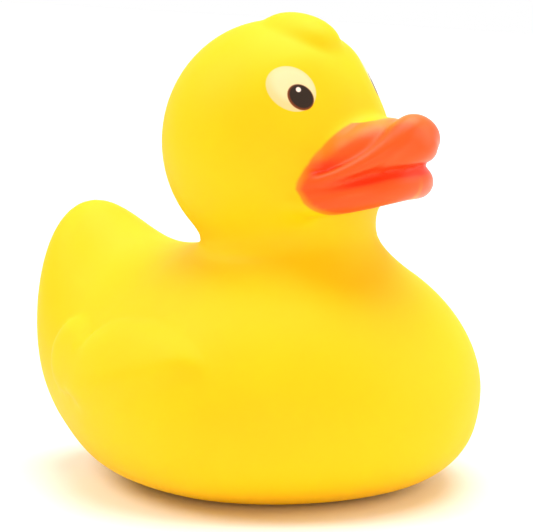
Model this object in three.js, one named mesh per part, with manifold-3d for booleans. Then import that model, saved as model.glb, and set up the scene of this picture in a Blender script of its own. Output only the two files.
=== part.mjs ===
// Rubber duck: a hollow moulded bath toy with a small reed squeaker snapped into its base.
// Millimetres, +Z up. The duck faces -Y, X = 0 is its plane of symmetry, and it stands on Z = 0.
import * as THREE from "three";
import { mergeVertices } from "three/addons/utils/BufferGeometryUtils.js";
import Module from "manifold-3d";

const wasm = await Module();
wasm.setup();

// Driving dimensions. Forward is the way the duck looks, and heights are above the floor.
const wall = 1.8; // thickness of the moulded skin
const clearance = 0.3; // gap between two pieces that fit together

// The hull is an egg with its own reach each way from the widest point.
const hull = {
  forward: 2.3, // widest point, ahead of the middle
  beamHeight: 16.1,
  halfWidth: 35.4,
  breast: 33.1,
  rump: 40.7,
  back: 26.4, // from the beam up to the back
  keel: 30, // from the beam down, most of it cut off by the flat base
  fullness: 1.89, // 2 is an ellipse, less is slimmer at the shoulders
  baseRound: 10.1, // softening where the flat base meets the sides
};
const tail = {
  overhang: 1.7, // how far the fan's middle lies inside the rump
  rise: 12,
  halfWidth: 12.4,
  halfLength: 8,
  halfHeight: 17,
  lean: 11.4, // degrees that the fan leans back
  blend: 19.7,
};
const neck = {
  forward: 2.9, // how far its axis lies ahead of the beam
  radius: 11.2,
  rise: 1.6,
  halfLength: 6,
  blend: 7.4,
  sweep: 0.2, // how much the blend widens with each millimetre forward
};
const head = {
  forward: 0.4,
  lift: 15.9, // from the back up to the middle of the head
  halfWidth: 20,
  halfLength: 19.1,
  halfHeight: 20.5,
  blend: 4.9,
};
// Each cheek is flattened a little where the eye is printed, which leaves a brow above it.
const eyeFlat = {
  turn: 41.7, // degrees to the side
  up: 22.1, // degrees above level
  depth: 19.2, // from the middle of the head
  blend: 1.2,
};
// The tuft of feathers on the crown.
const tuft = {
  forward: 5.4,
  drop: 2,
  halfWidth: 4.8,
  halfLength: 6.6,
  halfHeight: 3.1,
  dip: 13.4, // degrees that its forward end is lowered
  blend: 1.9,
};

// The bill is two lips along ellipses seen from above, with a bridge between them and the face.
const bill = { setBack: 7.5, halfWidth: 12, lipBlend: 1.4, bridgeBlend: 1.2, blend: 2.4 };
const bridge = { forward: 5, drop: 1.8, halfWidth: 10.6, halfLength: 11, halfHeight: 6, lift: 25 };

// A lip's cross-section is a rounded flap: a radius round a line that reaches by the flap to each
// side of its middle, at a lean in degrees from level. From the corners it swells to the tip's
// size, and the higher the power the later.
const upperLip = {
  reach: 15.9,
  drop: 5.5,
  rise: 7.7,
  swell: 2.5,
  corner: { radius: 1.2, flap: 0.7, lean: 40 },
  tip: { radius: 3.3, flap: 0.9, lean: 105 },
};
const lowerLip = {
  reach: 14.4,
  drop: 8,
  rise: 3,
  swell: 1,
  corner: { radius: 2.5, flap: 0, lean: 0 },
  tip: { radius: 3, flap: 0, lean: 0 },
};

// Each wing is a puff on the hull that fades away below and in front. Seen from the side its
// outline is three ovals: the wing, its tip behind, and the root that fills in between them.
const wing = { height: 1.5, edge: 4.2, blend: 0.8, slope: 0.35, fadeFrom: 23.7, fadeTo: 17.2 };
const wingLobe = { back: 9, rise: 4.9, halfLength: 16.2, halfHeight: 10.4 };
const wingTip = { back: 27.8, rise: 6.2, halfLength: 6.5, halfHeight: 6.4 };
const wingRoot = { back: 19.3, rise: 4.9, halfLength: 11, halfHeight: 5.6 };

// The squeaker is a cup whose stem snaps into the base, with the reed and its holder pushed inside.
const squeaker = {
  boreRadius: 4,
  stemWall: 1.2,
  barbOverhang: 1.9, // how far the barb stands out past the stem
  barbLand: 0.5, // the barb's straight edge, below its slope
  barbHeight: 2.6,
  lipOverhang: 2.2,
  lipThickness: 0.9,
  lipChamfer: 0.3,
  floor: 1.2,
  seatHeight: 1.6,
  seatLedge: 1.1, // ledge that would stop the holder, were it pushed right in
  soundHoleRadius: 1.4,
};
const reed = { thickness: 0.25, width: 4.2, length: 6, flatOffset: 0.5, freeRoom: 2.1 };
const reedClampHeight = 2.4;
const airway = { sideCover: 0.9, depth: 1.5, endWall: 1.4 };

// The base is dished so that the squeaker's lip stays clear of the floor, with thicker skin round the hole.
const dish = { floorGap: 0.3, sideGap: 0.8, bevel: 0.6 };
const collar = { thickness: 2, width: 2.3 };

// The squeaker's radii, from the bore outwards.
const stemRadius = squeaker.boreRadius + squeaker.stemWall;
const barbRadius = stemRadius + squeaker.barbOverhang;
const lipRadius = stemRadius + squeaker.lipOverhang;
const holderRadius = squeaker.boreRadius - clearance;
const holeRadius = stemRadius + clearance;
const dishRadius = lipRadius + dish.sideGap;
const collarRadius = dishRadius + collar.width;

// Its heights, from the floor upwards.
const lipBottom = dish.floorGap;
const lipTop = lipBottom + squeaker.lipThickness;
const dishTop = lipTop + clearance;
const collarTop = dishTop + collar.thickness;
const barbBottom = collarTop + clearance;
const floorTop = lipBottom + squeaker.floor;
const seatTop = floorTop + squeaker.seatHeight;
const holderBottom = seatTop + clearance;
const holderTop = holderBottom + reed.length + reed.freeRoom;
const housingTop = holderTop + clearance;
const clampBottom = holderTop - reedClampHeight;

// Across the bore: the holder's flat, the reed that lies on it, and the face of the clamp.
const reedFace = reed.flatOffset + clearance;
const clampFace = reedFace + reed.thickness + clearance;

// Sides of the round pieces, and cell sizes of the grids that the moulded skin is read on.
const roundSides = 40;
const cells = { skin: 2.9, bill: 1.25, hollow: 5.2 };

// Smooth joins and cuts of distance fields.
function join(a, b, blend) {
  const h = Math.max(blend - Math.abs(a - b), 0) / blend;
  return Math.min(a, b) - h * h * blend * 0.25;
}
const trim = (a, b, blend) => -join(-a, -b, blend);

// Distance to an ellipsoid, near enough to measure a wall with.
function ellipsoid(x, y, z, rx, ry, rz) {
  const k0 = Math.hypot(x / rx, y / ry, z / rz);
  const k1 = Math.hypot(x / (rx * rx), y / (ry * ry), z / (rz * rz));
  return (k0 * (k0 - 1)) / Math.max(k1, 1e-9);
}

// Distance to an upright oval in the plane of symmetry.
function oval(forward, z, size) {
  const near = Math.hypot(forward / size.halfLength, z / size.halfHeight);
  const slope = Math.hypot(forward / size.halfLength ** 2, z / size.halfHeight ** 2);
  return (near * (near - 1)) / Math.max(slope, 1e-9);
}

// Distance to an ellipsoid whose forward end is raised by some degrees.
function raisedEllipsoid(x, forward, z, size, degrees) {
  const c = Math.cos(THREE.MathUtils.degToRad(degrees));
  const s = Math.sin(THREE.MathUtils.degToRad(degrees));
  const along = c * forward + s * z;
  const up = c * z - s * forward;
  return ellipsoid(x, along, up, size.halfWidth, size.halfLength, size.halfHeight);
}

function hullField(x, forward, z) {
  const y = forward - hull.forward;
  const h = z - hull.beamHeight;
  const reach = [hull.halfWidth, y > 0 ? hull.breast : hull.rump, h > 0 ? hull.back : hull.keel];
  const u = [x, y, h].map((v, i) => Math.max(Math.abs(v) / reach[i], 1e-6));
  const g = u.reduce((sum, v) => sum + v ** hull.fullness, 0) ** (1 / hull.fullness);
  const slope = Math.hypot(...u.map((v, i) => (v / g) ** (hull.fullness - 1) / reach[i]));
  return (g - 1) / slope;
}

const backHeight = hull.beamHeight + hull.back;
const headHeight = backHeight + head.lift;
const faceForward = head.forward + head.halfLength;
const billForward = faceForward - bill.setBack;

function tailField(x, forward, z) {
  const middle = hull.forward - hull.rump + tail.overhang;
  const height = hull.beamHeight + tail.rise;
  return raisedEllipsoid(x, forward - middle, z - height, tail, tail.lean);
}

// How far the wing stands off the hull.
function wingPuff(forward, z) {
  const y = forward - hull.forward;
  const [lobe, tip, root] = [wingLobe, wingTip, wingRoot].map((form) =>
    oval(y + form.back, z - hull.beamHeight - form.rise, form),
  );
  const outline = join(join(lobe, tip, wing.blend), root, wing.blend);
  const depth = THREE.MathUtils.clamp(-outline / wing.edge, 0, 1);
  const height = z - wing.slope * (y + wingLobe.back);
  const shown = THREE.MathUtils.smoothstep(height, wing.fadeTo, wing.fadeFrom);
  return wing.height * shown * (1 - (1 - depth) ** 3);
}

function neckField(x, forward, z) {
  const h = z - backHeight - neck.rise;
  const past = h - THREE.MathUtils.clamp(h, -neck.halfLength, neck.halfLength);
  return Math.hypot(x, forward - (hull.forward + neck.forward), past) - neck.radius;
}

// The neck meets the body in a crease behind, and sweeps into it in front.
function neckBlend(forward) {
  const ahead = THREE.MathUtils.clamp(forward - hull.forward, -neck.radius, neck.radius);
  return neck.blend + neck.sweep * ahead;
}

// A lip follows the front of an ellipse, and rises as it goes from the corners to the tip.
function lipField(x, forward, z, lip) {
  const y = forward - billForward;
  const rho = Math.max(Math.hypot(x / bill.halfWidth, y / lip.reach), 1e-3);
  const slope = Math.hypot(x / bill.halfWidth ** 2, y / lip.reach ** 2) / rho;
  const away = (rho - 1) / Math.max(slope, 1e-4);
  const share = THREE.MathUtils.clamp(y / lip.reach / rho, 0, 1) ** 2;
  const swell = share ** lip.swell;
  const { corner, tip } = lip;
  const radius = THREE.MathUtils.lerp(corner.radius, tip.radius, swell);
  const flap = THREE.MathUtils.lerp(corner.flap, tip.flap, swell);
  const lean = THREE.MathUtils.degToRad(THREE.MathUtils.lerp(corner.lean, tip.lean, swell ** 2));
  const h = z - (headHeight - lip.drop + lip.rise * share);
  const along = THREE.MathUtils.clamp(away * Math.cos(lean) + h * Math.sin(lean), -flap, flap);
  return Math.hypot(away - along * Math.cos(lean), h - along * Math.sin(lean)) - radius;
}

function billField(x, forward, z) {
  const upper = lipField(x, forward, z, upperLip);
  const lower = lipField(x, forward, z, lowerLip);
  const y = forward - billForward - bridge.forward;
  const fill = raisedEllipsoid(x, y, z - headHeight + bridge.drop, bridge, bridge.lift);
  return join(join(upper, lower, bill.lipBlend), fill, bill.bridgeBlend);
}

const eyeTurn = THREE.MathUtils.degToRad(eyeFlat.turn);
const eyeUp = THREE.MathUtils.degToRad(eyeFlat.up);
const eyeLevel = Math.cos(eyeUp);
const eyeWay = [Math.sin(eyeTurn) * eyeLevel, Math.cos(eyeTurn) * eyeLevel, Math.sin(eyeUp)];

function skullField(x, forward, z) {
  const y = forward - head.forward;
  const h = z - headHeight;
  const skull = ellipsoid(x, y, h, head.halfWidth, head.halfLength, head.halfHeight);
  const cheek = x * eyeWay[0] + y * eyeWay[1] + h * eyeWay[2] - eyeFlat.depth;
  return trim(skull, cheek, eyeFlat.blend);
}

function headField(x, forward, z) {
  const crown = headHeight + head.halfHeight - tuft.drop;
  const crest = raisedEllipsoid(x, forward - head.forward - tuft.forward, z - crown, tuft, -tuft.dip);
  const crowned = join(skullField(x, forward, z), crest, tuft.blend);
  return join(crowned, billField(x, forward, z), bill.blend);
}

// The whole duck: negative inside, zero on its skin.
function duckField(side, y, z) {
  const x = Math.abs(side);
  const forward = -y;
  let d = join(hullField(x, forward, z), tailField(x, forward, z), tail.blend);
  d -= wingPuff(forward, z);
  d = join(d, neckField(x, forward, z), neckBlend(forward));
  d = join(d, headField(x, forward, z), head.blend);
  return trim(d, -z, hull.baseRound);
}

// The hollow follows the body, the neck and the head. The bill, the tuft and the wings' relief
// are too shallow for it, so they fill with vinyl as the mould turns.
function hollowField(side, y, z) {
  const x = Math.abs(side);
  const forward = -y;
  let d = join(hullField(x, forward, z), tailField(x, forward, z), tail.blend);
  d = join(d, neckField(x, forward, z), neckBlend(forward));
  d = join(d, skullField(x, forward, z), head.blend);
  return trim(d, -z, hull.baseRound) + wall;
}

// Places along one axis, from a list of [end, step] stretches.
function stops(start, stretches) {
  const places = [start];
  for (const [end, step] of stretches) {
    const from = places[places.length - 1];
    const count = Math.max(1, Math.round((end - from) / step));
    for (let i = 1; i <= count; i++) places.push(from + ((end - from) * i) / count);
  }
  return places;
}

// A grid cell: its corners are numbered by the bits of their place, and its edges join two corners.
const cornerPlace = [...Array(8).keys()].map((c) => [c & 1, (c >> 1) & 1, (c >> 2) & 1]);
const axisBits = [1, 2, 4];
const edgesFrom = (c) => axisBits.filter((bit) => !(c & bit)).map((bit) => [c, c | bit]);
const cellEdges = cornerPlace.flatMap((_, c) => edgesFrom(c));
function edgeNumber(corner, axis) {
  return cellEdges.findIndex(([a, b]) => a === corner && b === (corner | axisBits[axis]));
}
function edgesOnFace(bit, value) {
  return [...cellEdges.keys()].filter((n) => cellEdges[n].every((c) => (c & bit) === value));
}
const cellFaces = axisBits.flatMap((bit) => [edgesOnFace(bit, 0), edgesOnFace(bit, bit)]);

// Groups a cell's cut edges into the separate sheets of surface that pass through the cell.
function sheetsOf(inside) {
  const sheet = cellEdges.map(([a, b], n) => (inside[a] === inside[b] ? -1 : n));
  const link = (m, n) => {
    const from = sheet[m];
    sheet.forEach((s, k) => {
      if (s === from) sheet[k] = sheet[n];
    });
  };
  const shareInside = (m, n) => cellEdges[m].some((c) => inside[c] && cellEdges[n].includes(c));
  for (const face of cellFaces) {
    const cut = face.filter((n) => sheet[n] >= 0);
    // A face with four cuts has two inside corners, and each keeps the two cuts beside it.
    for (const m of cut)
      for (const n of cut) if (m < n && (cut.length === 2 || shareInside(m, n))) link(m, n);
  }
  return sheet;
}

// A closed mesh of a field's zero surface: one point for each sheet in each cell, moved onto the
// surface, and a four-sided face round each grid edge that the surface cuts.
function skinOf(field, xs, ys, zs) {
  const [nx, ny, nz] = [xs.length, ys.length, zs.length];
  const at = (i, j, k) => (i * ny + j) * nz + k;
  const value = new Float64Array(nx * ny * nz);
  for (let i = 0; i < nx; i++)
    for (let j = 0; j < ny; j++)
      for (let k = 0; k < nz; k++) value[at(i, j, k)] = field(xs[i], ys[j], zs[k]);

  const pointOf = new Map();
  const points = [];
  for (let i = 0; i < nx - 1; i++)
    for (let j = 0; j < ny - 1; j++)
      for (let k = 0; k < nz - 1; k++) {
        const corners = cornerPlace.map(([a, b, c]) => value[at(i + a, j + b, k + c)]);
        const inside = corners.map((v) => v < 0);
        if (inside.every((v) => v === inside[0])) continue;
        const place = (c) => {
          const [a, b, d] = cornerPlace[c];
          return new THREE.Vector3(xs[i + a], ys[j + b], zs[k + d]);
        };
        const sheet = sheetsOf(inside);
        for (const name of new Set(sheet)) {
          if (name < 0) continue;
          const cut = [...sheet.keys()].filter((n) => sheet[n] === name);
          const middle = new THREE.Vector3();
          for (const n of cut) {
            const [a, b] = cellEdges[n];
            const crossing = place(a).lerp(place(b), corners[a] / (corners[a] - corners[b]));
            middle.addScaledVector(crossing, 1 / cut.length);
            pointOf.set(at(i, j, k) * cellEdges.length + n, points.length);
          }
          points.push(settle(field, middle));
        }
      }

  const faces = [];
  const step = [at(1, 0, 0), at(0, 1, 0), at(0, 0, 1)];
  for (let i = 0; i < nx - 1; i++)
    for (let j = 0; j < ny - 1; j++)
      for (let k = 0; k < nz - 1; k++)
        for (let axis = 0; axis < 3; axis++) {
          const here = at(i, j, k);
          const inside = value[here] < 0;
          if (inside === value[here + step[axis]] < 0) continue;
          const [u, v] = [(axis + 1) % 3, (axis + 2) % 3];
          const place = [i, j, k];
          if (place[u] === 0 || place[v] === 0) continue;
          const ring = [[1, 1], [0, 1], [0, 0], [1, 0]].map(([m, n]) => {
            const cell = here - m * step[u] - n * step[v];
            const corner = m * axisBits[u] + n * axisBits[v];
            return pointOf.get(cell * cellEdges.length + edgeNumber(corner, axis));
          });
          const [a, b, c, d] = inside ? ring : ring.reverse();
          // The shorter diagonal follows the surface better.
          if (points[a].distanceToSquared(points[c]) < points[b].distanceToSquared(points[d]))
            faces.push(a, b, c, a, c, d);
          else faces.push(a, b, d, b, c, d);
        }
  const geometry = new THREE.BufferGeometry();
  const places = points.flatMap((p) => p.toArray());
  geometry.setAttribute("position", new THREE.Float32BufferAttribute(places, 3));
  geometry.setIndex(faces);
  return geometry;
}

// Moves a point along the field's slope until it lies on the surface.
function settle(field, point) {
  const reach = 0.02;
  const steps = 3;
  const flattest = 0.01; // keeps a step short where the slope fades
  for (let n = 0; n < steps; n++) {
    const { x, y, z } = point;
    const slope = new THREE.Vector3(
      field(x + reach, y, z) - field(x - reach, y, z),
      field(x, y + reach, z) - field(x, y - reach, z),
      field(x, y, z + reach) - field(x, y, z - reach),
    ).divideScalar(2 * reach);
    point.addScaledVector(slope, -field(x, y, z) / Math.max(slope.lengthSq(), flattest));
  }
  return point;
}

function solid(geometry) {
  const plain = geometry.clone();
  plain.deleteAttribute("normal");
  plain.deleteAttribute("uv");
  const merged = mergeVertices(plain, 1e-4);
  return new wasm.Manifold(
    new wasm.Mesh({
      numProp: 3,
      vertProperties: new Float32Array(merged.attributes.position.array),
      triVerts: new Uint32Array(merged.index.array),
    }),
  );
}

function geometryOf(made) {
  const mesh = made.getMesh();
  const geometry = new THREE.BufferGeometry();
  geometry.setAttribute("position", new THREE.Float32BufferAttribute(mesh.vertProperties, 3));
  geometry.setIndex(new THREE.Uint32BufferAttribute(mesh.triVerts, 1));
  geometry.computeVertexNormals();
  return geometry;
}

// A turned solid about the Z axis from [radius, height] pairs, listed from the bottom up the outside.
function turned(profile) {
  const points = profile.map(([r, z]) => new THREE.Vector2(r, z));
  return solid(new THREE.LatheGeometry(points, roundSides).rotateX(Math.PI / 2));
}
const drum = (radius, from, to) => turned([[0, from], [radius, from], [radius, to], [0, to]]);

function block(width, depth, from, to, y) {
  return solid(new THREE.BoxGeometry(width, depth, to - from).translate(0, y, (from + to) / 2));
}

function part(name, made, finish) {
  const mesh = new THREE.Mesh(geometryOf(made), new THREE.MeshStandardMaterial(finish));
  mesh.name = name;
  return mesh;
}

// The duck's grids reach past it by the margin.
const margin = 3;
const billTip = billForward + upperLip.reach + upperLip.tip.radius;
const front = -Math.max(hull.forward + hull.breast, billTip) - margin;
const rear = hull.rump - hull.forward + tail.halfLength + margin;
const side = hull.halfWidth + margin;
const top = headHeight + head.halfHeight + tuft.halfHeight + margin;

function grid(cell) {
  return [stops(-side, [[side, cell]]), stops(front, [[rear, cell]]), stops(-margin, [[top, cell]])];
}

// The bill and the face round it are read on a finer grid, inside a block of their own.
const billBlock = {
  side: bill.halfWidth + margin,
  back: -billForward,
  bottom: headHeight - lowerLip.drop - lowerLip.corner.radius - margin,
  top: headHeight - upperLip.drop + upperLip.rise + upperLip.tip.radius + margin,
};

function billSkin() {
  const past = margin / 2;
  const near = (x, y, z) =>
    Math.max(
      duckField(x, y, z),
      Math.abs(x) - billBlock.side - past,
      y - billBlock.back - past,
      billBlock.bottom - past - z,
      z - billBlock.top - past,
    );
  const cell = cells.bill;
  const across = stops(-billBlock.side - margin, [[billBlock.side + margin, cell]]);
  const along = stops(front, [[billBlock.back + margin, cell]]);
  const up = stops(billBlock.bottom - margin, [[billBlock.top + margin, cell]]);
  return solid(skinOf(near, across, along, up));
}

function duckSkin() {
  const length = billBlock.back - front;
  const middle = (billBlock.back + front) / 2;
  const room = block(2 * billBlock.side, length, billBlock.bottom, billBlock.top, middle);
  const rest = solid(skinOf(duckField, ...grid(cells.skin))).subtract(room);
  return rest.add(billSkin().intersect(room));
}

function duckBody() {
  const hollow = solid(skinOf(hollowField, ...grid(cells.hollow)));
  const thickSkin = drum(collarRadius, -margin, collarTop);
  const dished = turned([
    [0, -margin],
    [dishRadius + dish.bevel, -margin],
    [dishRadius + dish.bevel, 0],
    [dishRadius - dish.bevel, dishTop],
    [0, dishTop],
  ]);
  const hole = drum(holeRadius, 0, collarTop + margin);
  return duckSkin().subtract(hollow.subtract(thickSkin)).subtract(dished).subtract(hole);
}

function squeakerHousing() {
  const seatRadius = squeaker.boreRadius - squeaker.seatLedge;
  return turned([
    [squeaker.soundHoleRadius, lipBottom],
    [lipRadius - squeaker.lipChamfer, lipBottom],
    [lipRadius, lipBottom + squeaker.lipChamfer],
    [lipRadius, lipTop],
    [stemRadius, lipTop],
    [stemRadius, barbBottom],
    [barbRadius, barbBottom],
    [barbRadius, barbBottom + squeaker.barbLand],
    [stemRadius, barbBottom + squeaker.barbHeight],
    [stemRadius, housingTop],
    [squeaker.boreRadius, housingTop],
    [squeaker.boreRadius, seatTop],
    [seatRadius, seatTop],
    [seatRadius, floorTop],
    [squeaker.soundHoleRadius, floorTop],
    [squeaker.soundHoleRadius, lipBottom],
  ]);
}

// A D-shaped plug with an airway down its flat, which the reed covers.
function reedHolder() {
  const plug = drum(holderRadius, holderBottom, holderTop);
  const wide = 4 * holderRadius;
  const past = [holderBottom - margin, holderTop + margin];
  const flat = block(wide, wide, ...past, reed.flatOffset + wide / 2);
  const airwayTop = clampBottom - airway.endWall;
  const airwayWidth = reed.width - 2 * airway.sideCover;
  const channel = block(airwayWidth, 2 * airway.depth, past[0], airwayTop, reed.flatOffset);
  return plug.subtract(flat).subtract(channel);
}

function reedClamp() {
  const plug = drum(holderRadius, clampBottom, holderTop);
  const wide = 4 * holderRadius;
  return plug.subtract(block(wide, wide, clampBottom - margin, holderTop + margin, clampFace - wide / 2));
}

function squeakerReed() {
  const half = reed.width / 2;
  const outline = new THREE.Shape();
  outline.moveTo(-half, 0);
  outline.lineTo(-half, half - reed.length);
  outline.absarc(0, half - reed.length, half, Math.PI, 2 * Math.PI, false);
  outline.lineTo(half, 0);
  const shape = { depth: reed.thickness, bevelEnabled: false, curveSegments: 12 };
  const strip = new THREE.ExtrudeGeometry(outline, shape).rotateX(Math.PI / 2);
  return solid(strip.translate(0, reedFace + reed.thickness, holderTop));
}

const vinyl = { color: 0xfdcb0c, roughness: 0.42, metalness: 0 };
const naturalPlastic = { color: 0xf2f0e8, roughness: 0.45, metalness: 0 };
const reedPlastic = { color: 0xd9d6cc, roughness: 0.35, metalness: 0 };

const duck = new THREE.Group();
const body = part("duck_body", duckBody(), vinyl);
duck.add(
  body,
  part("squeaker_housing", squeakerHousing(), naturalPlastic),
  part("reed_holder", reedHolder(), naturalPlastic),
  part("reed_clamp", reedClamp(), naturalPlastic),
  part("squeaker_reed", squeakerReed(), reedPlastic),
);

// The origin is under the middle of the duck's length.
const reachOf = new THREE.Box3().setFromObject(body);
duck.position.y = -(reachOf.min.y + reachOf.max.y) / 2;

export default duck;
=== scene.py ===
# Rubber duck: a moulded vinyl bath toy with a sprayed bill, printed eyes and a squeaker in its
# base. The form is worked out in millimetres and turned to metres as each mesh is made.
import math

import bmesh
import bpy
import numpy as np
from mathutils import Matrix, Vector


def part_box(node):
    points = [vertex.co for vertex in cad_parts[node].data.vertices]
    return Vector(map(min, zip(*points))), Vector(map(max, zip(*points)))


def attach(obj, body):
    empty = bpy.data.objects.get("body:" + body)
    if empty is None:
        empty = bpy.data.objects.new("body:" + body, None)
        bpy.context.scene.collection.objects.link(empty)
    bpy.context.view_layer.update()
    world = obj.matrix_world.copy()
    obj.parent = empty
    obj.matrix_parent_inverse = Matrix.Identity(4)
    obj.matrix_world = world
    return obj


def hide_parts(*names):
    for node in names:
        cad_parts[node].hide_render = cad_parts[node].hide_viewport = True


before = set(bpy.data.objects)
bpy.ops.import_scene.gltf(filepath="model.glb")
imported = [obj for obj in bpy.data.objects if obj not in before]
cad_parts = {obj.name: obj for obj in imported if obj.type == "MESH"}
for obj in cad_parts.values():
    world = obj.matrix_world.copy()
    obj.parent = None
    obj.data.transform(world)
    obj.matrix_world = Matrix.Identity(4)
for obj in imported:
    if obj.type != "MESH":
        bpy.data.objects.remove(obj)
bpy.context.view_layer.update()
print("frame loaded:", ", ".join(sorted(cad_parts)))

mm = 0.001


def join(a, b, blend):
    # the nearer of two surfaces, with the groove between them filled over the blend's width
    h = np.maximum(blend - np.abs(a - b), 0) / blend
    return np.minimum(a, b) - h * h * blend * 0.25


def trim(a, b, blend):
    # what two forms have in common, with the edge between them rounded
    return -join(-a, -b, blend)


def ellipsoid(x, y, z, size):
    # about how far a point lies outside an ellipsoid, and below zero inside it
    rx, ry, rz = size["halfWidth"], size["halfLength"], size["halfHeight"]
    k0 = np.sqrt((x / rx) ** 2 + (y / ry) ** 2 + (z / rz) ** 2)
    k1 = np.sqrt((x / rx**2) ** 2 + (y / ry**2) ** 2 + (z / rz**2) ** 2)
    return k0 * (k0 - 1) / np.maximum(k1, 1e-9)


def oval(y, z, size):
    # the same for an oval seen from the side
    ry, rz = size["halfLength"], size["halfHeight"]
    k0 = np.hypot(y / ry, z / rz)
    k1 = np.hypot(y / ry**2, z / rz**2)
    return k0 * (k0 - 1) / np.maximum(k1, 1e-9)


def raisedEllipsoid(x, y, z, size, degrees):
    # the same for an ellipsoid with its front raised
    c, s = math.cos(math.radians(degrees)), math.sin(math.radians(degrees))
    return ellipsoid(x, c * y + s * z, c * z - s * y, size)


# Each part of the duck has its sizes beside it. Forward is the way the duck looks, which is -Y in
# the frame. The hull reaches further aft than forward, and its keel goes on below the flat base.
hull = {
    "forward": 2.3, "beamHeight": 16.1, "halfWidth": 35.4, "breast": 33.1, "rump": 40.7,
    "back": 26.4, "keel": 30, "fullness": 1.89, "baseRound": 10.1,
}
backHeight = hull["beamHeight"] + hull["back"]


def hullField(x, y, z):
    y = y - hull["forward"]
    z = z - hull["beamHeight"]
    reachY = np.where(y > 0, hull["breast"], hull["rump"])
    reachZ = np.where(z > 0, hull["back"], hull["keel"])
    u = [np.abs(x) / hull["halfWidth"], np.abs(y) / reachY, np.abs(z) / reachZ]
    u = [np.maximum(v, 1e-6) for v in u]
    power = hull["fullness"]
    g = sum(v**power for v in u) ** (1 / power)
    reach = [hull["halfWidth"], reachY, reachZ]
    slope = np.sqrt(sum(((v / g) ** (power - 1) / r) ** 2 for v, r in zip(u, reach)))
    return (g - 1) / slope


# The tail is an upright ellipsoid on the rump, and its wide blend sweeps up from the back.
tail = {
    "overhang": 1.7, "rise": 12, "lean": 11.4, "blend": 19.7,
    "halfWidth": 12.4, "halfLength": 8, "halfHeight": 17,
}


def tailField(x, y, z):
    middle = hull["forward"] - hull["rump"] + tail["overhang"]
    height = hull["beamHeight"] + tail["rise"]
    return raisedEllipsoid(x, y - middle, z - height, tail, tail["lean"])


# Each wing is a low puff: a main lobe, a tip behind it and a root between them. It fades out below.
wing = {"height": 1.7, "edge": 3.4, "blend": 0.8, "slope": 0.35, "fadeFrom": 23.7, "fadeTo": 17.2}
wingLobe = {"back": 8.3, "rise": 4.9, "halfLength": 16.9, "halfHeight": 10.4}
wingTip = {"back": 27.8, "rise": 6.2, "halfLength": 6.5, "halfHeight": 6.4}
wingRoot = {"back": 19.3, "rise": 4.9, "halfLength": 11, "halfHeight": 5.6}


def wingPuff(y, z):
    # how far the wing stands off the hull, from its outline of three ovals seen from the side
    y = y - hull["forward"]
    lobes = [
        oval(y + form["back"], z - hull["beamHeight"] - form["rise"], form)
        for form in (wingLobe, wingTip, wingRoot)
    ]
    outline = join(join(lobes[0], lobes[1], wing["blend"]), lobes[2], wing["blend"])
    depth = np.clip(-outline / wing["edge"], 0, 1)
    height = z - wing["slope"] * (y + wingLobe["back"])
    fade = np.clip((height - wing["fadeTo"]) / (wing["fadeFrom"] - wing["fadeTo"]), 0, 1)
    return wing["height"] * fade * fade * (3 - 2 * fade) * (1 - (1 - depth) ** 3)


# The neck is an upright rod with round ends.
neck = {
    "forward": 2.9, "radius": 11.2, "rise": 1.6, "halfLength": 6, "blend": 7.4, "sweep": 0.2,
}


def neckField(x, y, z):
    h = z - backHeight - neck["rise"]
    past = h - np.clip(h, -neck["halfLength"], neck["halfLength"])
    y = y - hull["forward"] - neck["forward"]
    return np.sqrt(x**2 + y**2 + past**2) - neck["radius"]


def neckBlend(y):
    # the neck meets the body in a crease behind and sweeps into it in front
    ahead = np.clip(y - hull["forward"], -neck["radius"], neck["radius"])
    return neck["blend"] + neck["sweep"] * ahead


# The head is nearly a ball, with a flat on each cheek for the eye.
head = {
    "forward": 0.4, "lift": 15.9, "blend": 4.9,
    "halfWidth": 20, "halfLength": 19.1, "halfHeight": 20.5,
}
eyeFlat = {"turn": 34, "up": 24, "depth": 18.8, "blend": 1.4}
headHeight = backHeight + head["lift"]


def wayTo(turn, up):
    # a direction by its turn from straight ahead and its rise, in degrees
    turn, up = math.radians(turn), math.radians(up)
    return math.sin(turn) * math.cos(up), math.cos(turn) * math.cos(up), math.sin(up)


def skullField(x, y, z):
    y = y - head["forward"]
    z = z - headHeight
    way = wayTo(eyeFlat["turn"], eyeFlat["up"])
    cheek = x * way[0] + y * way[1] + z * way[2] - eyeFlat["depth"]
    return trim(ellipsoid(x, y, z, head), cheek, eyeFlat["blend"])


# The bill's lips are joined to each other, to the bridge behind them and to the head.
bill = {"setBack": 7.5, "halfWidth": 12, "lipBlend": 1.4, "bridgeBlend": 1.2, "blend": 2.4}
upperLip = {
    "reach": 15.9, "drop": 5.5, "rise": 7.7, "swell": 2.5,
    "corner": {"radius": 1.2, "flap": 0.7, "lean": 40},
    "tip": {"radius": 3.3, "flap": 0.9, "lean": 105},
}
lowerLip = {
    "reach": 14.4, "drop": 8, "rise": 3, "swell": 1,
    "corner": {"radius": 2.5, "flap": 0, "lean": 0},
    "tip": {"radius": 3, "flap": 0, "lean": 0},
}
bridge = {
    "forward": 5, "drop": 1.8, "lift": 25,
    "halfWidth": 10.6, "halfLength": 11, "halfHeight": 6,
}
billForward = head["forward"] + head["halfLength"] - bill["setBack"]


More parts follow.
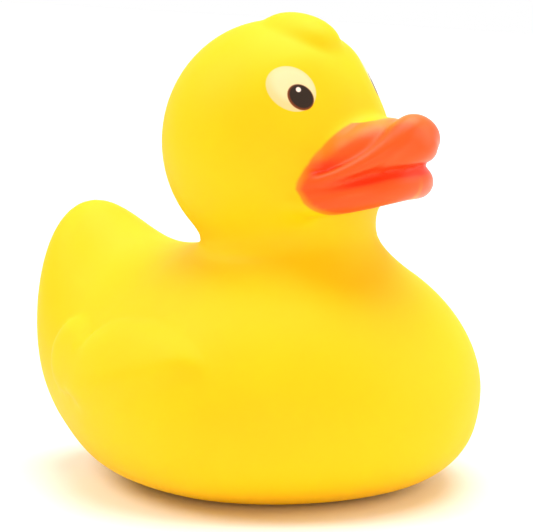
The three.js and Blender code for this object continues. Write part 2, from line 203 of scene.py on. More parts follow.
def lipField(x, y, z, lip):
    # a roll along the front of an ellipse seen from above, with a flap that leans over; it grows
    # and rises from the corners of the mouth to the tip
    y = y - billForward
    rho = np.maximum(np.hypot(x / bill["halfWidth"], y / lip["reach"]), 1e-3)
    slope = np.hypot(x / bill["halfWidth"] ** 2, y / lip["reach"] ** 2) / rho
    away = (rho - 1) / np.maximum(slope, 1e-4)
    share = np.clip(y / lip["reach"] / rho, 0, 1) ** 2
    height = headHeight - lip["drop"] + lip["rise"] * share
    swell = share**lip["swell"]
    corner, tip = lip["corner"], lip["tip"]
    radius = corner["radius"] + (tip["radius"] - corner["radius"]) * swell
    flap = corner["flap"] + (tip["flap"] - corner["flap"]) * swell
    lean = np.radians(corner["lean"] + (tip["lean"] - corner["lean"]) * swell**2)
    c, s = np.cos(lean), np.sin(lean)
    z = z - height
    along = np.clip(away * c + z * s, -flap, flap)
    return np.hypot(away - along * c, z - along * s) - radius


def billField(x, y, z):
    lips = join(lipField(x, y, z, upperLip), lipField(x, y, z, lowerLip), bill["lipBlend"])
    along = y - billForward - bridge["forward"]
    fill = raisedEllipsoid(x, along, z - headHeight + bridge["drop"], bridge, bridge["lift"])
    return join(lips, fill, bill["bridgeBlend"])


# The tuft is a small crest on the crown that dips to the front.
tuft = {
    "forward": 5.4, "drop": 2, "dip": 13.4, "blend": 1.9,
    "halfWidth": 4.8, "halfLength": 6.6, "halfHeight": 3.1,
}


def headField(x, y, z):
    crown = headHeight + head["halfHeight"] - tuft["drop"]
    along = y - head["forward"] - tuft["forward"]
    crest = raisedEllipsoid(x, along, z - crown, tuft, -tuft["dip"])
    crowned = join(skullField(x, y, z), crest, tuft["blend"])
    return join(crowned, billField(x, y, z), bill["blend"])


def duckField(points):
    # the whole outside, where y runs forward and both halves are the same
    x, y, z = np.abs(points[..., 0]), -points[..., 1], points[..., 2]
    d = join(hullField(x, y, z), tailField(x, y, z), tail["blend"])
    d = d - wingPuff(y, z)
    d = join(d, neckField(x, y, z), neckBlend(y))
    d = join(d, headField(x, y, z), head["blend"])
    return trim(d, -z, hull["baseRound"])


wall = 1.8


def hollowField(points):
    # the room inside, drawn in by the wall; wings, bill and tuft are too shallow for it
    x, y, z = np.abs(points[..., 0]), -points[..., 1], points[..., 2]
    d = join(hullField(x, y, z), tailField(x, y, z), tail["blend"])
    d = join(d, neckField(x, y, z), neckBlend(y))
    d = join(d, skullField(x, y, z), head["blend"])
    return trim(d, -z, hull["baseRound"]) + wall


# A grid cell's corners are numbered by the bits of their place, and its edges join two corners.
cellCorners = [(c & 1, c >> 1 & 1, c >> 2 & 1) for c in range(8)]
cellEdges = [(c, c | bit) for c in range(8) for bit in (1, 2, 4) if not c & bit]
cellFaces = [
    [n for n, edge in enumerate(cellEdges) if all(bool(c & bit) == high for c in edge)]
    for bit in (1, 2, 4)
    for high in (False, True)
]


def sheetsOf(code):
    # groups the cut edges of a cell into the separate sheets of surface that pass through it
    def inside(c):
        return code >> c & 1

    sheet = [n if inside(a) != inside(b) else -1 for n, (a, b) in enumerate(cellEdges)]
    for face in cellFaces:
        cut = [n for n in face if sheet[n] >= 0]
        for m in cut:
            for n in cut:
                shared = set(cellEdges[m]) & set(cellEdges[n])
                if len(cut) == 2 or any(inside(c) for c in shared):
                    old = sheet[m]
                    sheet = [sheet[n] if s == old else s for s in sheet]
    names = sorted(set(sheet) - {-1})
    return [names.index(s) if s >= 0 else -1 for s in sheet], len(names)


sheetOf = np.array([sheetsOf(code)[0] for code in range(256)])
sheetCount = np.array([sheetsOf(code)[1] for code in range(256)])


def slopeOf(field, points, step=0.02):
    # how fast the field grows along each axis
    ways = np.eye(3) * step
    rises = [field(points + way) - field(points - way) for way in ways]
    return np.stack(rises, -1) / (2 * step)


def settle(field, points, rounds=4, flattest=0.01):
    # moves points along the field's slope until they lie on the surface
    for _ in range(rounds):
        slope = slopeOf(field, points)
        size = np.maximum((slope**2).sum(-1), flattest)
        points = points - slope * (field(points) / size)[:, None]
    return points


def skinOf(field, axes):
    # a closed mesh of a field's zero surface, with one point for each sheet in each cell
    grid = np.stack(np.meshgrid(*axes, indexing="ij"), -1)
    value = field(grid)
    inside = value < 0
    shape = [n - 1 for n in value.shape]
    code = np.zeros(shape, int)
    # the bits of a cell's code say which of its corners lie inside
    for c, place in enumerate(cellCorners):
        window = tuple(slice(p, p + n) for p, n in zip(place, shape))
        code |= inside[window].astype(int) << c
    cells = np.argwhere((code > 0) & (code < 255))
    codes = code[tuple(cells.T)]
    counts = sheetCount[codes]
    start = np.cumsum(counts) - counts
    first = np.full(shape, -1)
    first[tuple(cells.T)] = start
    # a sheet's point starts at the mean of the places where the surface cuts the cell's edges
    summed = np.zeros((counts.sum(), 3))
    hits = np.zeros(counts.sum())
    for n, (a, b) in enumerate(cellEdges):
        cut = sheetOf[codes, n] >= 0
        low = tuple((cells[cut] + cellCorners[a]).T)
        high = tuple((cells[cut] + cellCorners[b]).T)
        share = (value[low] / (value[low] - value[high]))[:, None]
        target = start[cut] + sheetOf[codes[cut], n]
        np.add.at(summed, target, grid[low] + (grid[high] - grid[low]) * share)
        np.add.at(hits, target, 1)
    points = settle(field, summed / hits[:, None])
    # each cut edge of the grid gives a face between the four cells round it
    faces = []
    for axis in range(3):
        u, v = (axis + 1) % 3, (axis + 2) % 3
        near = np.moveaxis(inside, axis, 0)
        at = np.argwhere(np.moveaxis(near[:-1] != near[1:], 0, axis))
        ring = []
        for m, n in ((1, 1), (0, 1), (0, 0), (1, 0)):
            cell = at.copy()
            cell[:, u] -= m
            cell[:, v] -= n
            corner = m << u | n << v
            edge = cellEdges.index((corner, corner | 1 << axis))
            spot = tuple(cell.T)
            ring.append(first[spot] + sheetOf[code[spot], edge])
        quads = np.stack(ring, 1)
        backwards = ~inside[tuple(at.T)]
        quads[backwards] = quads[backwards][:, ::-1]
        faces.append(quads)
    return points, np.concatenate(faces)


def stops(start, stretches):
    # places along one axis of the grid, in stretches that each have their own step
    places = [start]
    for end, step in stretches:
        count = max(1, round((end - places[-1]) / step))
        places += list(np.linspace(places[-1], end, count + 1)[1:])
    return np.array(places)


# Cell sizes of the grids that the skin is read on: small round the bill and the eyes.
cells = {"skin": 1.15, "face": 0.55, "hollow": 2.4, "margin": 3}


def gridAxes(coarse, fine):
    # the fine step is kept for the bill and the face
    margin = cells["margin"]
    billTip = billForward + upperLip["reach"] + upperLip["tip"]["radius"]
    front = -max(hull["forward"] + hull["breast"], billTip) - margin
    rear = hull["rump"] - hull["forward"] + tail["halfLength"] + margin
    side = hull["halfWidth"] + margin
    billSide = bill["halfWidth"] + 2 * lowerLip["corner"]["radius"]
    chin = headHeight - lowerLip["drop"] - 2 * lowerLip["corner"]["radius"]
    top = headHeight + head["halfHeight"] + tuft["halfHeight"] + margin
    return [
        stops(-side, [[-billSide, coarse], [billSide, fine], [side, coarse]]),
        stops(front, [[-head["forward"], fine], [rear, coarse]]),
        stops(-margin, [[chin, coarse], [top, fine]]),
    ]


def newMesh(name, points, faces):
    mesh = bpy.data.meshes.new(name)
    mesh.from_pydata(np.asarray(points).tolist(), [], np.asarray(faces).tolist())
    mesh.update()
    piece = bpy.data.objects.new(name, mesh)
    bpy.context.scene.collection.objects.link(piece)
    return piece


weldReach = 1e-7  # in metres: points nearer to each other than this become one


def turned(name, profile, sides, rounding=None):
    # turns [radius, height] pairs round the Z axis, closed on the axis or on themselves
    shape = bmesh.new()
    ring = [shape.verts.new((r * mm, 0, z * mm)) for r, z in profile]
    closed = profile[0][0] > 0
    links = list(zip(ring, ring[1:] + ring[:1])) if closed else list(zip(ring, ring[1:]))
    edges = [shape.edges.new(pair) for pair in links]
    bmesh.ops.spin(
        shape, geom=ring + edges, cent=(0, 0, 0), axis=(0, 0, 1),
        angle=2 * math.pi, steps=sides, use_merge=True,
    )
    bmesh.ops.remove_doubles(shape, verts=shape.verts, dist=weldReach)
    bmesh.ops.recalc_face_normals(shape, faces=shape.faces)
    mesh = bpy.data.meshes.new(name)
    shape.to_mesh(mesh)
    shape.free()
    piece = bpy.data.objects.new(name, mesh)
    bpy.context.scene.collection.objects.link(piece)
    if rounding:
        bevel = piece.modifiers.new("rounded edges", "BEVEL")
        bevel.width = rounding * mm
        bevel.segments = squeaker["roundingSteps"]
        bevel.limit_method = "ANGLE"
        bevel.angle_limit = math.radians(squeaker["sharpFrom"])
        applyModifiers(piece)
    return piece


def applyModifiers(piece):
    # the shape as its modifiers leave it becomes the piece's own mesh
    graph = bpy.context.evaluated_depsgraph_get()
    made = bpy.data.meshes.new_from_object(piece.evaluated_get(graph))
    made.name = piece.name
    piece.modifiers.clear()
    piece.data = made


def cutWith(piece, tool):
    cut = piece.modifiers.new("cut", "BOOLEAN")
    cut.operation = "DIFFERENCE"
    cut.solver = "MANIFOLD"
    cut.object = tool
    applyModifiers(piece)
    bpy.data.objects.remove(tool)


def welded(piece):
    # the cuts leave some points doubled, which would make faces without area
    shape = bmesh.new()
    shape.from_mesh(piece.data)
    bmesh.ops.remove_doubles(shape, verts=shape.verts, dist=weldReach)
    shape.to_mesh(piece.data)
    shape.free()
    return piece


def smoothShaded(piece, sharpAngle=40):
    piece.data.shade_smooth()
    piece.data.set_sharp_from_angle(angle=math.radians(sharpAngle))


# The squeaker's sizes, from the bore outwards and the floor upwards, as the frame has them.
squeaker = {
    "boreRadius": 4, "stemWall": 1.2, "barbOverhang": 1.9, "barbLand": 0.5, "barbHeight": 2.6,
    "lipOverhang": 2.2, "lipThickness": 0.9, "floor": 1.2, "seatHeight": 1.6, "seatLedge": 1.1,
    "soundHoleRadius": 1.4, "holderHeight": 8.1, "sides": 96,
    "rounding": 0.18, "roundingSteps": 3, "sharpFrom": 30,
}
clearance = 0.3  # between pieces that fit together
dish = {"floorGap": 0.3, "sideGap": 0.8, "bevel": 0.6, "collarHeight": 2, "collarWidth": 2.3}
stemRadius = squeaker["boreRadius"] + squeaker["stemWall"]
lipRadius = stemRadius + squeaker["lipOverhang"]
dishRadius = lipRadius + dish["sideGap"]
dishTop = dish["floorGap"] + squeaker["lipThickness"] + clearance
collarTop = dishTop + dish["collarHeight"]
# how far along Y the frame sets the form, in metres, as the squeaker on its axis shows
alongShift = (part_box("squeaker_housing")[0].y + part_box("squeaker_housing")[1].y) / 2


def buildBody():
    points, faces = skinOf(duckField, gridAxes(cells["skin"], cells["face"]))
    body = newMesh("duckBody", points * mm, faces)
    inner, innerFaces = skinOf(hollowField, gridAxes(cells["hollow"], cells["hollow"]))
    hollow = newMesh("hollow", inner * mm, innerFaces)
    sides = squeaker["sides"]
    below = -cells["margin"]
    collarRadius = dishRadius + dish["collarWidth"]
    thickSkin = [[0, below], [collarRadius, below], [collarRadius, collarTop], [0, collarTop]]
    cutWith(hollow, turned("thickSkin", thickSkin, sides))
    cutWith(body, hollow)
    dished = [
        [0, below],
        [dishRadius + dish["bevel"], below],
        [dishRadius + dish["bevel"], 0],
        [dishRadius - dish["bevel"], dishTop],
        [0, dishTop],
    ]
    cutWith(body, turned("dished", dished, sides))
    holeRadius = stemRadius + clearance
    past = collarTop + cells["margin"]
    hole = [[0, 0], [holeRadius, 0], [holeRadius, past], [0, past]]
    cutWith(body, turned("hole", hole, sides))
    return welded(body)


def fitToFrame(body):
    # the fine skin takes exactly the place of the frame's own, whose facets are coarser
    low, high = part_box("duck_body")
    count = len(body.data.vertices)
    places = np.empty(count * 3)
    body.data.vertices.foreach_get("co", places)
    places = places.reshape(-1, 3)
    mine = places.min(0), places.max(0)
    size = (np.array(high) - np.array(low)) / (mine[1] - mine[0])
    fitted = (places - mine[0]) * size + np.array(low)
    body.data.vertices.foreach_set("co", fitted.ravel())
    body.data.update()
    print("skin fitted to the frame by", np.round(size, 4), "with", count, "points")
    return fitted


body = buildBody()
placed = fitToFrame(body)
smoothShaded(body)
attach(body, "root")
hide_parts("duck_body")

# The spray on the bill ends at a mask. Its edge is listed from the brow round to the chin as
# [across, forward, height], each with how far in from there the coat is still thin. The folds,
# where shade is painted in, are looked for near the bill's middle, given as [x, y, z] before the
# form is set in the frame.
billSpray = {
    "edge": [
        [0, 22.4, 63.6, 9], [2.4, 22, 63.5, 9], [3.8, 20.8, 63.4, 8], [5.3, 19.1, 63.3, 7],
        [8.2, 18.1, 61.9, 5], [10.6, 16.9, 59.6, 3.4], [12.7, 15.3, 56.6, 2.4], [14, 14.3, 54, 1.6],
        [14.3, 14.1, 52.5, 1.2], [14, 15.6, 50.6, 1.6], [12.6, 18, 49, 2.2], [10, 20, 48.4, 2.8],
        [6, 22.2, 48.7, 3.2], [3, 24, 49.3, 3.2], [0, 27.3, 50.1, 3.2],
    ],
    "axisHeight": 56, "lowest": 44, "middle": [0, -22, 57], "near": 22,
}


def sprayOf(points):
    # millimetres forward of the mask's edge, which is read by the angle round the bill's axis, and
    # how full the coat is there
    x = np.abs(points[:, 0]) / mm
    forward = -(points[:, 1] - alongShift) / mm
    angle = np.arctan2(x, points[:, 2] / mm - billSpray["axisHeight"])
    edge = np.array(billSpray["edge"])
    edgeAngle = np.arctan2(edge[:, 0], edge[:, 2] - billSpray["axisHeight"])
    past = forward - np.interp(angle, edgeAngle, edge[:, 1])
    cover = np.clip(past / np.interp(angle, edgeAngle, edge[:, 3]), 0, 1)
    return np.minimum(past, points[:, 2] / mm - billSpray["lowest"]), cover


def foldOf(points, reach=3):
    # 1 in the bill's folds and 0 on its open sides, for the shade painted into the folds: a step
    # out from a fold ends nearer to the skin
    own = points / mm - np.array([0, alongShift / mm, 0])
    near = np.linalg.norm(own - billSpray["middle"], axis=1) < billSpray["near"]
    foldShade = np.zeros(len(points))
    slope = slopeOf(duckField, own[near])
    out = slope / np.linalg.norm(slope, axis=1)[:, None]
    foldShade[near] = np.clip(1 - duckField(own[near] + out * reach) / reach, 0, 1)
    return foldShade


# the spray's reach and coat at each point, and how deep it lies in a fold, which sets the painted
# shade
sprayDepth, sprayCover = sprayOf(placed)
layers = {"sprayDepth": sprayDepth, "sprayCover": sprayCover, "paintedFoldShade": foldOf(placed)}
for name, values in layers.items():
    layer = body.data.attributes.new(name, "FLOAT", "POINT")
    layer.data.foreach_set("value", values.astype(np.float32))
print("body made:", len(body.data.polygons), "faces")


def buildSqueaker():
    lipTop = dish["floorGap"] + squeaker["lipThickness"]
    barbBottom = collarTop + clearance
    floorTop = dish["floorGap"] + squeaker["floor"]
    seatTop = floorTop + squeaker["seatHeight"]
    top = seatTop + squeaker["holderHeight"] + 2 * clearance
    seatRadius = squeaker["boreRadius"] - squeaker["seatLedge"]
    profile = [
        [squeaker["soundHoleRadius"], dish["floorGap"]],
        [lipRadius, dish["floorGap"]],
        [lipRadius, lipTop],
        [stemRadius, lipTop],
        [stemRadius, barbBottom],
        [stemRadius + squeaker["barbOverhang"], barbBottom],
        [stemRadius + squeaker["barbOverhang"], barbBottom + squeaker["barbLand"]],
        [stemRadius, barbBottom + squeaker["barbHeight"]],
        [stemRadius, top],
        [squeaker["boreRadius"], top],
        [squeaker["boreRadius"], seatTop],
        [seatRadius, seatTop],
        [seatRadius, floorTop],
        [squeaker["soundHoleRadius"], floorTop],
    ]
    cup = turned("squeakerCup", profile, squeaker["sides"], squeaker["rounding"])
    cup.data.transform(Matrix.Translation((0, alongShift, 0)))
    return cup


cup = buildSqueaker()
smoothShaded(cup)
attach(cup, "root")
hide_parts("squeaker_housing")
print("squeaker made")


def toLinear(hexText):
    # a hex colour as the shader wants it
    parts = [int(hexText[i : i + 2], 16) / 255 for i in (1, 3, 5)]
    return [c / 12.92 if c <= 0.04045 else ((c + 0.055) / 1.055) ** 2.4 for c in parts] + [1]


def perMm(size):
    # a noise's scale, for marks of that many millimetres
    return 1 / (size * mm)


def addNode(tree, kind, settings=None, links=None):
    # settings are the node's own fields or unlinked sockets, and links join sockets to outputs; a
    # Mix node takes its two colours at sockets 6 and 7 and gives the mixed one at output 2
    node = tree.nodes.new("ShaderNode" + kind)
    for name, value in (settings or {}).items():
        if isinstance(name, str) and hasattr(node, name):
            setattr(node, name, value)
        else:
            node.inputs[name].default_value = value
    for name, output in (links or {}).items():
        tree.links.new(output, node.inputs[name])
    return node


def newMaterial(name):
    material = bpy.data.materials.new(name)
    material.use_nodes = True
    material.node_tree.nodes.clear()
    return material, material.node_tree


# Soft PVC, moulded by turning it in a hot mould: even colour all through, a satin skin with the
# mould's fine grain, and light that goes a little way in, red the furthest. The real grain, about a
# tenth of a millimetre, would not show and is drawn coarser. All sizes are in millimetres.
vinyl = {
    "yellow": "#fdc304", "paler": "#fdcb0a", "mottle": 14, "roughness": 0.55, "patch": 5,
    "patchRoughness": 0.08, "ior": 1.53, "gloss": 0.17, "glow": 0.2, "glowReach": 1.2,
    "glowSpread": (1, 0.55, 0.12), "grain": 0.35, "grainDepth": 0.006, "grainStrength": 0.35,
}
# Vinyl paint, sprayed on the bill through a mask: smoother than the moulding, paler where the coat
# is thin, and with shade painted into the folds as a darker red. Its edge is a little soft and
# uneven.
sprayPaint = {
    "thin": "#ff961c", "full": "#ff581e", "foldShade": "#fb3c0e", "foldFrom": 0.06, "foldTo": 0.5,
    "softness": 0.32, "wander": 0.12, "drift": 1.5, "roughness": 0.32,
}
# The eye is printed in flat inks on the cheek, round its middle as [across, forward, height]: a
# cream oval, with shade painted on it that darkens it towards the back and bottom, a dark pupil
# with a brown rim, and a glint. Each is an oval that reaches through the skin. The print sits a
# slip to one side of the moulding's middle, which brings the far eye into view.
eyePrint = {
    "middle": [10.64, 11.56, 68.82], "slip": 1, "through": 8, "roughness": 0.35,
    "shadedCream": "#f2cf90", "white": "#f6dcaa", "rim": "#7a3a14", "dark": "#2b1d12",
    "shine": "#ffe9dc",
    "oval": {"long": 4.35, "short": 3.8, "turn": -38, "shift": [0, 0], "edge": 0.09},
    "unshadedCream": {"long": 3.9, "short": 3.0, "turn": -33, "shift": [0.5, 0.5], "edge": 0.8},
    "ring": {"long": 2.4, "short": 2.1, "turn": -48, "shift": [1.33, -1.6], "edge": 0.12},
    "pupil": {"long": 2.2, "short": 1.9, "turn": -48, "shift": [1.47, -1.48], "edge": 0.2},
    "glint": {"long": 0.42, "short": 0.42, "turn": 0, "shift": [1.15, -0.27], "edge": 0.09},
}


def eyeAxes():
    # along the face to the front, up the face, and out of it, on the duck's +X side
    turn = math.radians(eyeFlat["turn"])
    x, y, z = wayTo(eyeFlat["turn"], eyeFlat["up"])
    out = Vector((x, -y, z))
    along = Vector((-math.cos(turn), -math.sin(turn), 0))
    return along, out.cross(along) * -1, out


def printMask(tree, mirrored, shape):
    # 1 inside a printed oval and 0 outside it, with the ink's slightly soft edge
    along, up, out = eyeAxes()
    across, forward, height = eyePrint["middle"]
    middle = Vector((across * mm, -forward * mm + alongShift, height * mm))
    middle += (along * shape["shift"][0] + up * shape["shift"][1]) * mm
    turn = math.radians(shape["turn"])
    longWay = along * math.cos(turn) + up * math.sin(turn)
    shortWay = up * math.cos(turn) - along * math.sin(turn)
    axes = Matrix((longWay, shortWay, longWay.cross(shortWay))).transposed()
    place = addNode(
        tree, "Mapping",
        {
            "vector_type": "TEXTURE", "Location": middle, "Rotation": axes.to_euler(),
            "Scale": (shape["long"] * mm, shape["short"] * mm, eyePrint["through"] * mm),
        },
        {"Vector": mirrored},
    )
    distance = addNode(tree, "VectorMath", {"operation": "LENGTH"}, {0: place.outputs["Vector"]})
    edge = shape["edge"] / shape["short"]
    return addNode(
        tree, "MapRange",
        {"interpolation_type": "SMOOTHSTEP", "From Min": 1 + edge, "From Max": 1 - edge},
        {"Value": distance.outputs["Value"]},
    ).outputs["Result"]


def vinylMaterial():
    material, tree = newMaterial("PVC moulded, sprayed and printed")
    place = addNode(tree, "TexCoord").outputs["Object"]
    apart = addNode(tree, "SeparateXYZ", {}, {"Vector": place})
    slipped = addNode(
        tree, "Math", {"operation": "ADD", 1: eyePrint["slip"] * mm}, {0: apart.outputs["X"]}
    )
    side = addNode(tree, "Math", {"operation": "ABSOLUTE"}, {0: slipped.outputs[0]})
    mirrored = addNode(
        tree, "CombineXYZ", {},
        {"X": side.outputs[0], "Y": apart.outputs["Y"], "Z": apart.outputs["Z"]},
    ).outputs["Vector"]

    mottle = addNode(
        tree, "TexNoise", {"Scale": perMm(vinyl["mottle"]), "Detail": 2}, {"Vector": place}
    )
    ground = addNode(
        tree, "Mix",
        {"data_type": "RGBA", 6: toLinear(vinyl["yellow"]), 7: toLinear(vinyl["paler"])},
        {"Factor": mottle.outputs["Fac"]},
    ).outputs[2]

    # the sprayed edge wanders a little, the coat fills out from thin to full, and shade is painted
    # into the folds as a darker red
    depth = addNode(tree, "Attribute", {"attribute_name": "sprayDepth"}).outputs["Fac"]
    drift = addNode(
        tree, "TexNoise", {"Scale": perMm(sprayPaint["drift"]), "Detail": 3}, {"Vector": place}
    )
    wander = sprayPaint["wander"]
    wandering = addNode(
        tree, "Math", {"operation": "MULTIPLY_ADD", 1: 2 * wander, 2: -wander},
        {0: drift.outputs["Fac"]},
    ).outputs[0]
    wandered = addNode(tree, "Math", {"operation": "ADD"}, {0: depth, 1: wandering}).outputs[0]
    sprayed = addNode(
        tree, "MapRange",
        {
            "interpolation_type": "SMOOTHSTEP",
            "From Min": -sprayPaint["softness"], "From Max": sprayPaint["softness"],
        },
        {"Value": wandered},
    ).outputs["Result"]
    cover = addNode(tree, "Attribute", {"attribute_name": "sprayCover"}).outputs["Fac"]
    coat = addNode(
        tree, "Mix",
        {"data_type": "RGBA", 6: toLinear(sprayPaint["thin"]), 7: toLinear(sprayPaint["full"])},
        {"Factor": cover},
    ).outputs[2]
    foldShade = addNode(tree, "Attribute", {"attribute_name": "paintedFoldShade"}).outputs["Fac"]
    foldShadeShare = addNode(
        tree, "MapRange",
        {
            "interpolation_type": "SMOOTHSTEP",
            "From Min": sprayPaint["foldFrom"], "From Max": sprayPaint["foldTo"],
        },
        {"Value": foldShade},
    ).outputs["Result"]
    # the folds painted a darker red as shade
    paintWithFoldShade = addNode(
        tree, "Mix", {"data_type": "RGBA", 7: toLinear(sprayPaint["foldShade"])},
        {"Factor": foldShadeShare, 6: coat},
    ).outputs[2]
    colour = addNode(
        tree, "Mix", {"data_type": "RGBA"}, {"Factor": sprayed, 6: ground, 7: paintWithFoldShade}
    ).outputs[2]

    # the eye's inks, one printed over the other
    oval = printMask(tree, mirrored, eyePrint["oval"])
    # the cream oval, with shade painted towards its back and bottom
    creamWithShade = addNode(
        tree, "Mix",
        {"data_type": "RGBA", 6: toLinear(eyePrint["shadedCream"]), 7: toLinear(eyePrint["white"])},
        {"Factor": printMask(tree, mirrored, eyePrint["unshadedCream"])},
    ).outputs[2]
    colour = addNode(
        tree, "Mix", {"data_type": "RGBA"}, {"Factor": oval, 6: colour, 7: creamWithShade}
    ).outputs[2]
    for name, ink in (("ring", "rim"), ("pupil", "dark"), ("glint", "shine")):
        colour = addNode(
            tree, "Mix", {"data_type": "RGBA", 7: toLinear(eyePrint[ink])},
            {"Factor": printMask(tree, mirrored, eyePrint[name]), 6: colour},
        ).outputs[2]

    # satin vinyl, glossier paint and ink, and a roughness that varies in patches
    painted = addNode(
        tree, "MapRange", {"To Min": vinyl["roughness"], "To Max": sprayPaint["roughness"]},
        {"Value": sprayed},
    ).outputs["Result"]
    inked = addNode(
        tree, "Mix", {"data_type": "FLOAT", "B": eyePrint["roughness"]},
        {"Factor": oval, "A": painted},
    ).outputs["Result"]
    patchy = addNode(
        tree, "TexNoise", {"Scale": perMm(vinyl["patch"]), "Detail": 4}, {"Vector": place}
    )
    roughness = addNode(
        tree, "Math", {"operation": "MULTIPLY_ADD", 1: vinyl["patchRoughness"]},
        {0: patchy.outputs["Fac"], 2: inked},
    ).outputs[0]

    grain = addNode(
        tree, "TexNoise", {"Scale": perMm(vinyl["grain"]), "Detail": 3}, {"Vector": place}
    )
    bump = addNode(
        tree, "Bump",
        {"Strength": vinyl["grainStrength"], "Distance": vinyl["grainDepth"] * mm},
        {"Height": grain.outputs["Fac"]},
    )
    skin = addNode(
        tree, "BsdfPrincipled",
        {
            "IOR": vinyl["ior"], "Specular IOR Level": vinyl["gloss"],
            "Subsurface Weight": vinyl["glow"], "Subsurface Scale": vinyl["glowReach"] * mm,
            "Subsurface Radius": vinyl["glowSpread"],
        },
        {"Base Color": colour, "Roughness": roughness, "Normal": bump.outputs["Normal"]},
    )
    addNode(tree, "OutputMaterial", {}, {"Surface": skin.outputs["BSDF"]})
    return material


body.data.materials.clear()
body.data.materials.append(vinylMaterial())
print("vinyl made")

# Natural polyethylene, moulded: milky and waxy, with faint flow marks a few millimetres wide.
polyethylene = {
    "colour": "#f1efe6", "shade": "#e6e3d6", "roughness": 0.45, "ior": 1.51, "flow": 2.5,
}
# Polyester strip, drawn: smooth and slightly grey, with finer flow marks. It makes the reed.
reedStrip = {
    "colour": "#d9d6cc", "shade": "#c9c6bb", "roughness": 0.25, "ior": 1.57, "flow": 0.6,
}
# The flow marks of both plastics turn a little and show in colour, gloss and relief, and light goes
# a little way into them.
flowMark = {"turning": 0.6, "gloss": 0.06, "depth": 0.01, "strength": 0.3, "glow": 0.1}


def plasticMaterial(name, finish):
    material, tree = newMaterial(name)
    place = addNode(tree, "TexCoord").outputs["Object"]
    flow = addNode(
        tree, "TexNoise",
        {"Scale": perMm(finish["flow"]), "Detail": 4, "Distortion": flowMark["turning"]},
        {"Vector": place},
    ).outputs["Fac"]
    colour = addNode(
        tree, "Mix",
        {"data_type": "RGBA", 6: toLinear(finish["colour"]), 7: toLinear(finish["shade"])},
        {"Factor": flow},
    ).outputs[2]
    roughness = addNode(
        tree, "MapRange",
        {
            "To Min": finish["roughness"] - flowMark["gloss"],
            "To Max": finish["roughness"] + flowMark["gloss"],
        },
        {"Value": flow},
    ).outputs["Result"]
    bump = addNode(
        tree, "Bump", {"Strength": flowMark["strength"], "Distance": flowMark["depth"] * mm},
        {"Height": flow},
    )
    skin = addNode(
        tree, "BsdfPrincipled",
        {"IOR": finish["ior"], "Subsurface Weight": flowMark["glow"], "Subsurface Scale": mm},
        {"Base Color": colour, "Roughness": roughness, "Normal": bump.outputs["Normal"]},
    )
    addNode(tree, "OutputMaterial", {}, {"Surface": skin.outputs["BSDF"]})
    return material


cupPlastic = plasticMaterial("Polyethylene, moulded", polyethylene)
reedPlastic = plasticMaterial("Polyester strip, drawn", reedStrip)
finishes = {
    "reed_holder": (cupPlastic, "squeaker_plastic"),
    "reed_clamp": (cupPlastic, "squeaker_plastic"),
    "squeaker_reed": (reedPlastic, "reed_plastic"),
}
cup.data.materials.clear()
cup.data.materials.append(cupPlastic)
for node, (material, slotName) in finishes.items():
    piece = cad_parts[node]
    piece.data.materials.clear()
    piece.data.materials.append(material)
print("plastics made")

# The studio, in metres and watts: a pale floor, one wide softbox overhead, a fill from each side, a
# warm one kept low that reaches under the belly, and an even room.
studio = {
    "floor": 1.5, "floorColour": "#fdfdfb", "floorRoughness": 0.45,
    "room": 0.28, "roomColour": "#ffffff", "aim": (0, 0, 0.035),
    "softboxes": {
        "overhead": {"size": 1.9, "power": 40, "place": (0.5, 0, 1.9), "tint": "#ffffff"},
        "frontFill": {"size": 1.2, "power": 8, "place": (0.75, -1.1, 0.6), "tint": "#ffffff"},
        "rearFill": {"size": 1.2, "power": 19, "place": (-0.7, 1.1, 1.4), "tint": "#ffffff"},
        "lowFill": {"size": 0.9, "power": 8, "place": (-1, -0.75, 0.2), "tint": "#ffdcb0"},
    },
}


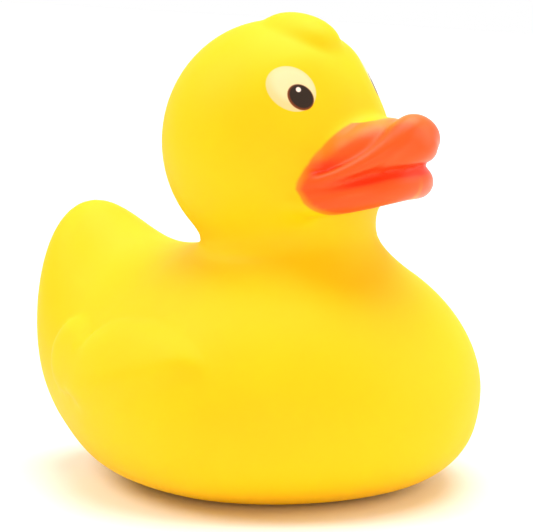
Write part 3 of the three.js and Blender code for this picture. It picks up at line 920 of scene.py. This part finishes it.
def buildStudio():
    half = studio["floor"] / 2
    corners = [(-half, -half, 0), (half, -half, 0), (half, half, 0), (-half, half, 0)]
    floor = newMesh("floor", corners, [(0, 1, 2, 3)])
    # a white laminate sheet: satin, so the duck's colour glows in the shadow at its foot
    material, tree = newMaterial("Laminate, satin white")
    laminate = addNode(
        tree, "BsdfPrincipled",
        {"Base Color": toLinear(studio["floorColour"]), "Roughness": studio["floorRoughness"]},
    )
    addNode(tree, "OutputMaterial", {}, {"Surface": laminate.outputs["BSDF"]})
    floor.data.materials.append(material)
    for name, box in studio["softboxes"].items():
        lamp = bpy.data.lights.new(name, "AREA")
        lamp.shape = "DISK"
        lamp.size = box["size"]
        lamp.energy = box["power"]
        lamp.color = toLinear(box["tint"])[:3]
        holder = bpy.data.objects.new(name, lamp)
        holder.location = box["place"]
        toDuck = Vector(studio["aim"]) - holder.location
        holder.rotation_euler = toDuck.to_track_quat("-Z", "Y").to_euler()
        bpy.context.scene.collection.objects.link(holder)
    world = bpy.data.worlds.new("room")
    world.use_nodes = True
    bpy.context.scene.world = world
    tree = world.node_tree
    tree.nodes.clear()
    # white where it is looked at or mirrored, and dimmer as a light on the duck
    rays = addNode(tree, "LightPath").outputs
    shown = rays["Is Camera Ray"]
    for kind in ("Is Glossy Ray", "Is Transmission Ray"):
        shown = addNode(
            tree, "Math", {"operation": "MAXIMUM"}, {0: shown, 1: rays[kind]}
        ).outputs[0]
    level = addNode(tree, "MapRange", {"To Min": studio["room"], "To Max": 1}, {"Value": shown})
    air = addNode(
        tree, "Background", {"Color": toLinear(studio["roomColour"])},
        {"Strength": level.outputs["Result"]},
    )
    addNode(tree, "OutputWorld", {}, {"Surface": air.outputs["Background"]})


buildStudio()

# The camera stands where the photograph's did: a long lens, a little above the duck. Its places
# and reaches are in millimetres.
view = {
    "target": (-0.84, -4.26, 36.79), "back": (-0.8048, -0.5714, 0.1607), "distance": 550,
    "lens": 218.9, "sensor": 36, "nearest": 50, "farthest": 20000,
}


def buildCamera():
    lens = bpy.data.cameras.new("photoView")
    lens.lens = view["lens"]
    lens.sensor_width = view["sensor"]
    lens.clip_start, lens.clip_end = view["nearest"] * mm, view["farthest"] * mm
    camera = bpy.data.objects.new("photoView", lens)
    back = Vector(view["back"]).normalized()
    camera.location = (Vector(view["target"]) + back * view["distance"]) * mm
    camera.rotation_euler = (-back).to_track_quat("-Z", "Y").to_euler()
    bpy.context.scene.collection.objects.link(camera)
    bpy.context.scene.camera = camera


buildCamera()
bpy.context.scene.view_settings.view_transform = "Standard"
print("studio and camera made")
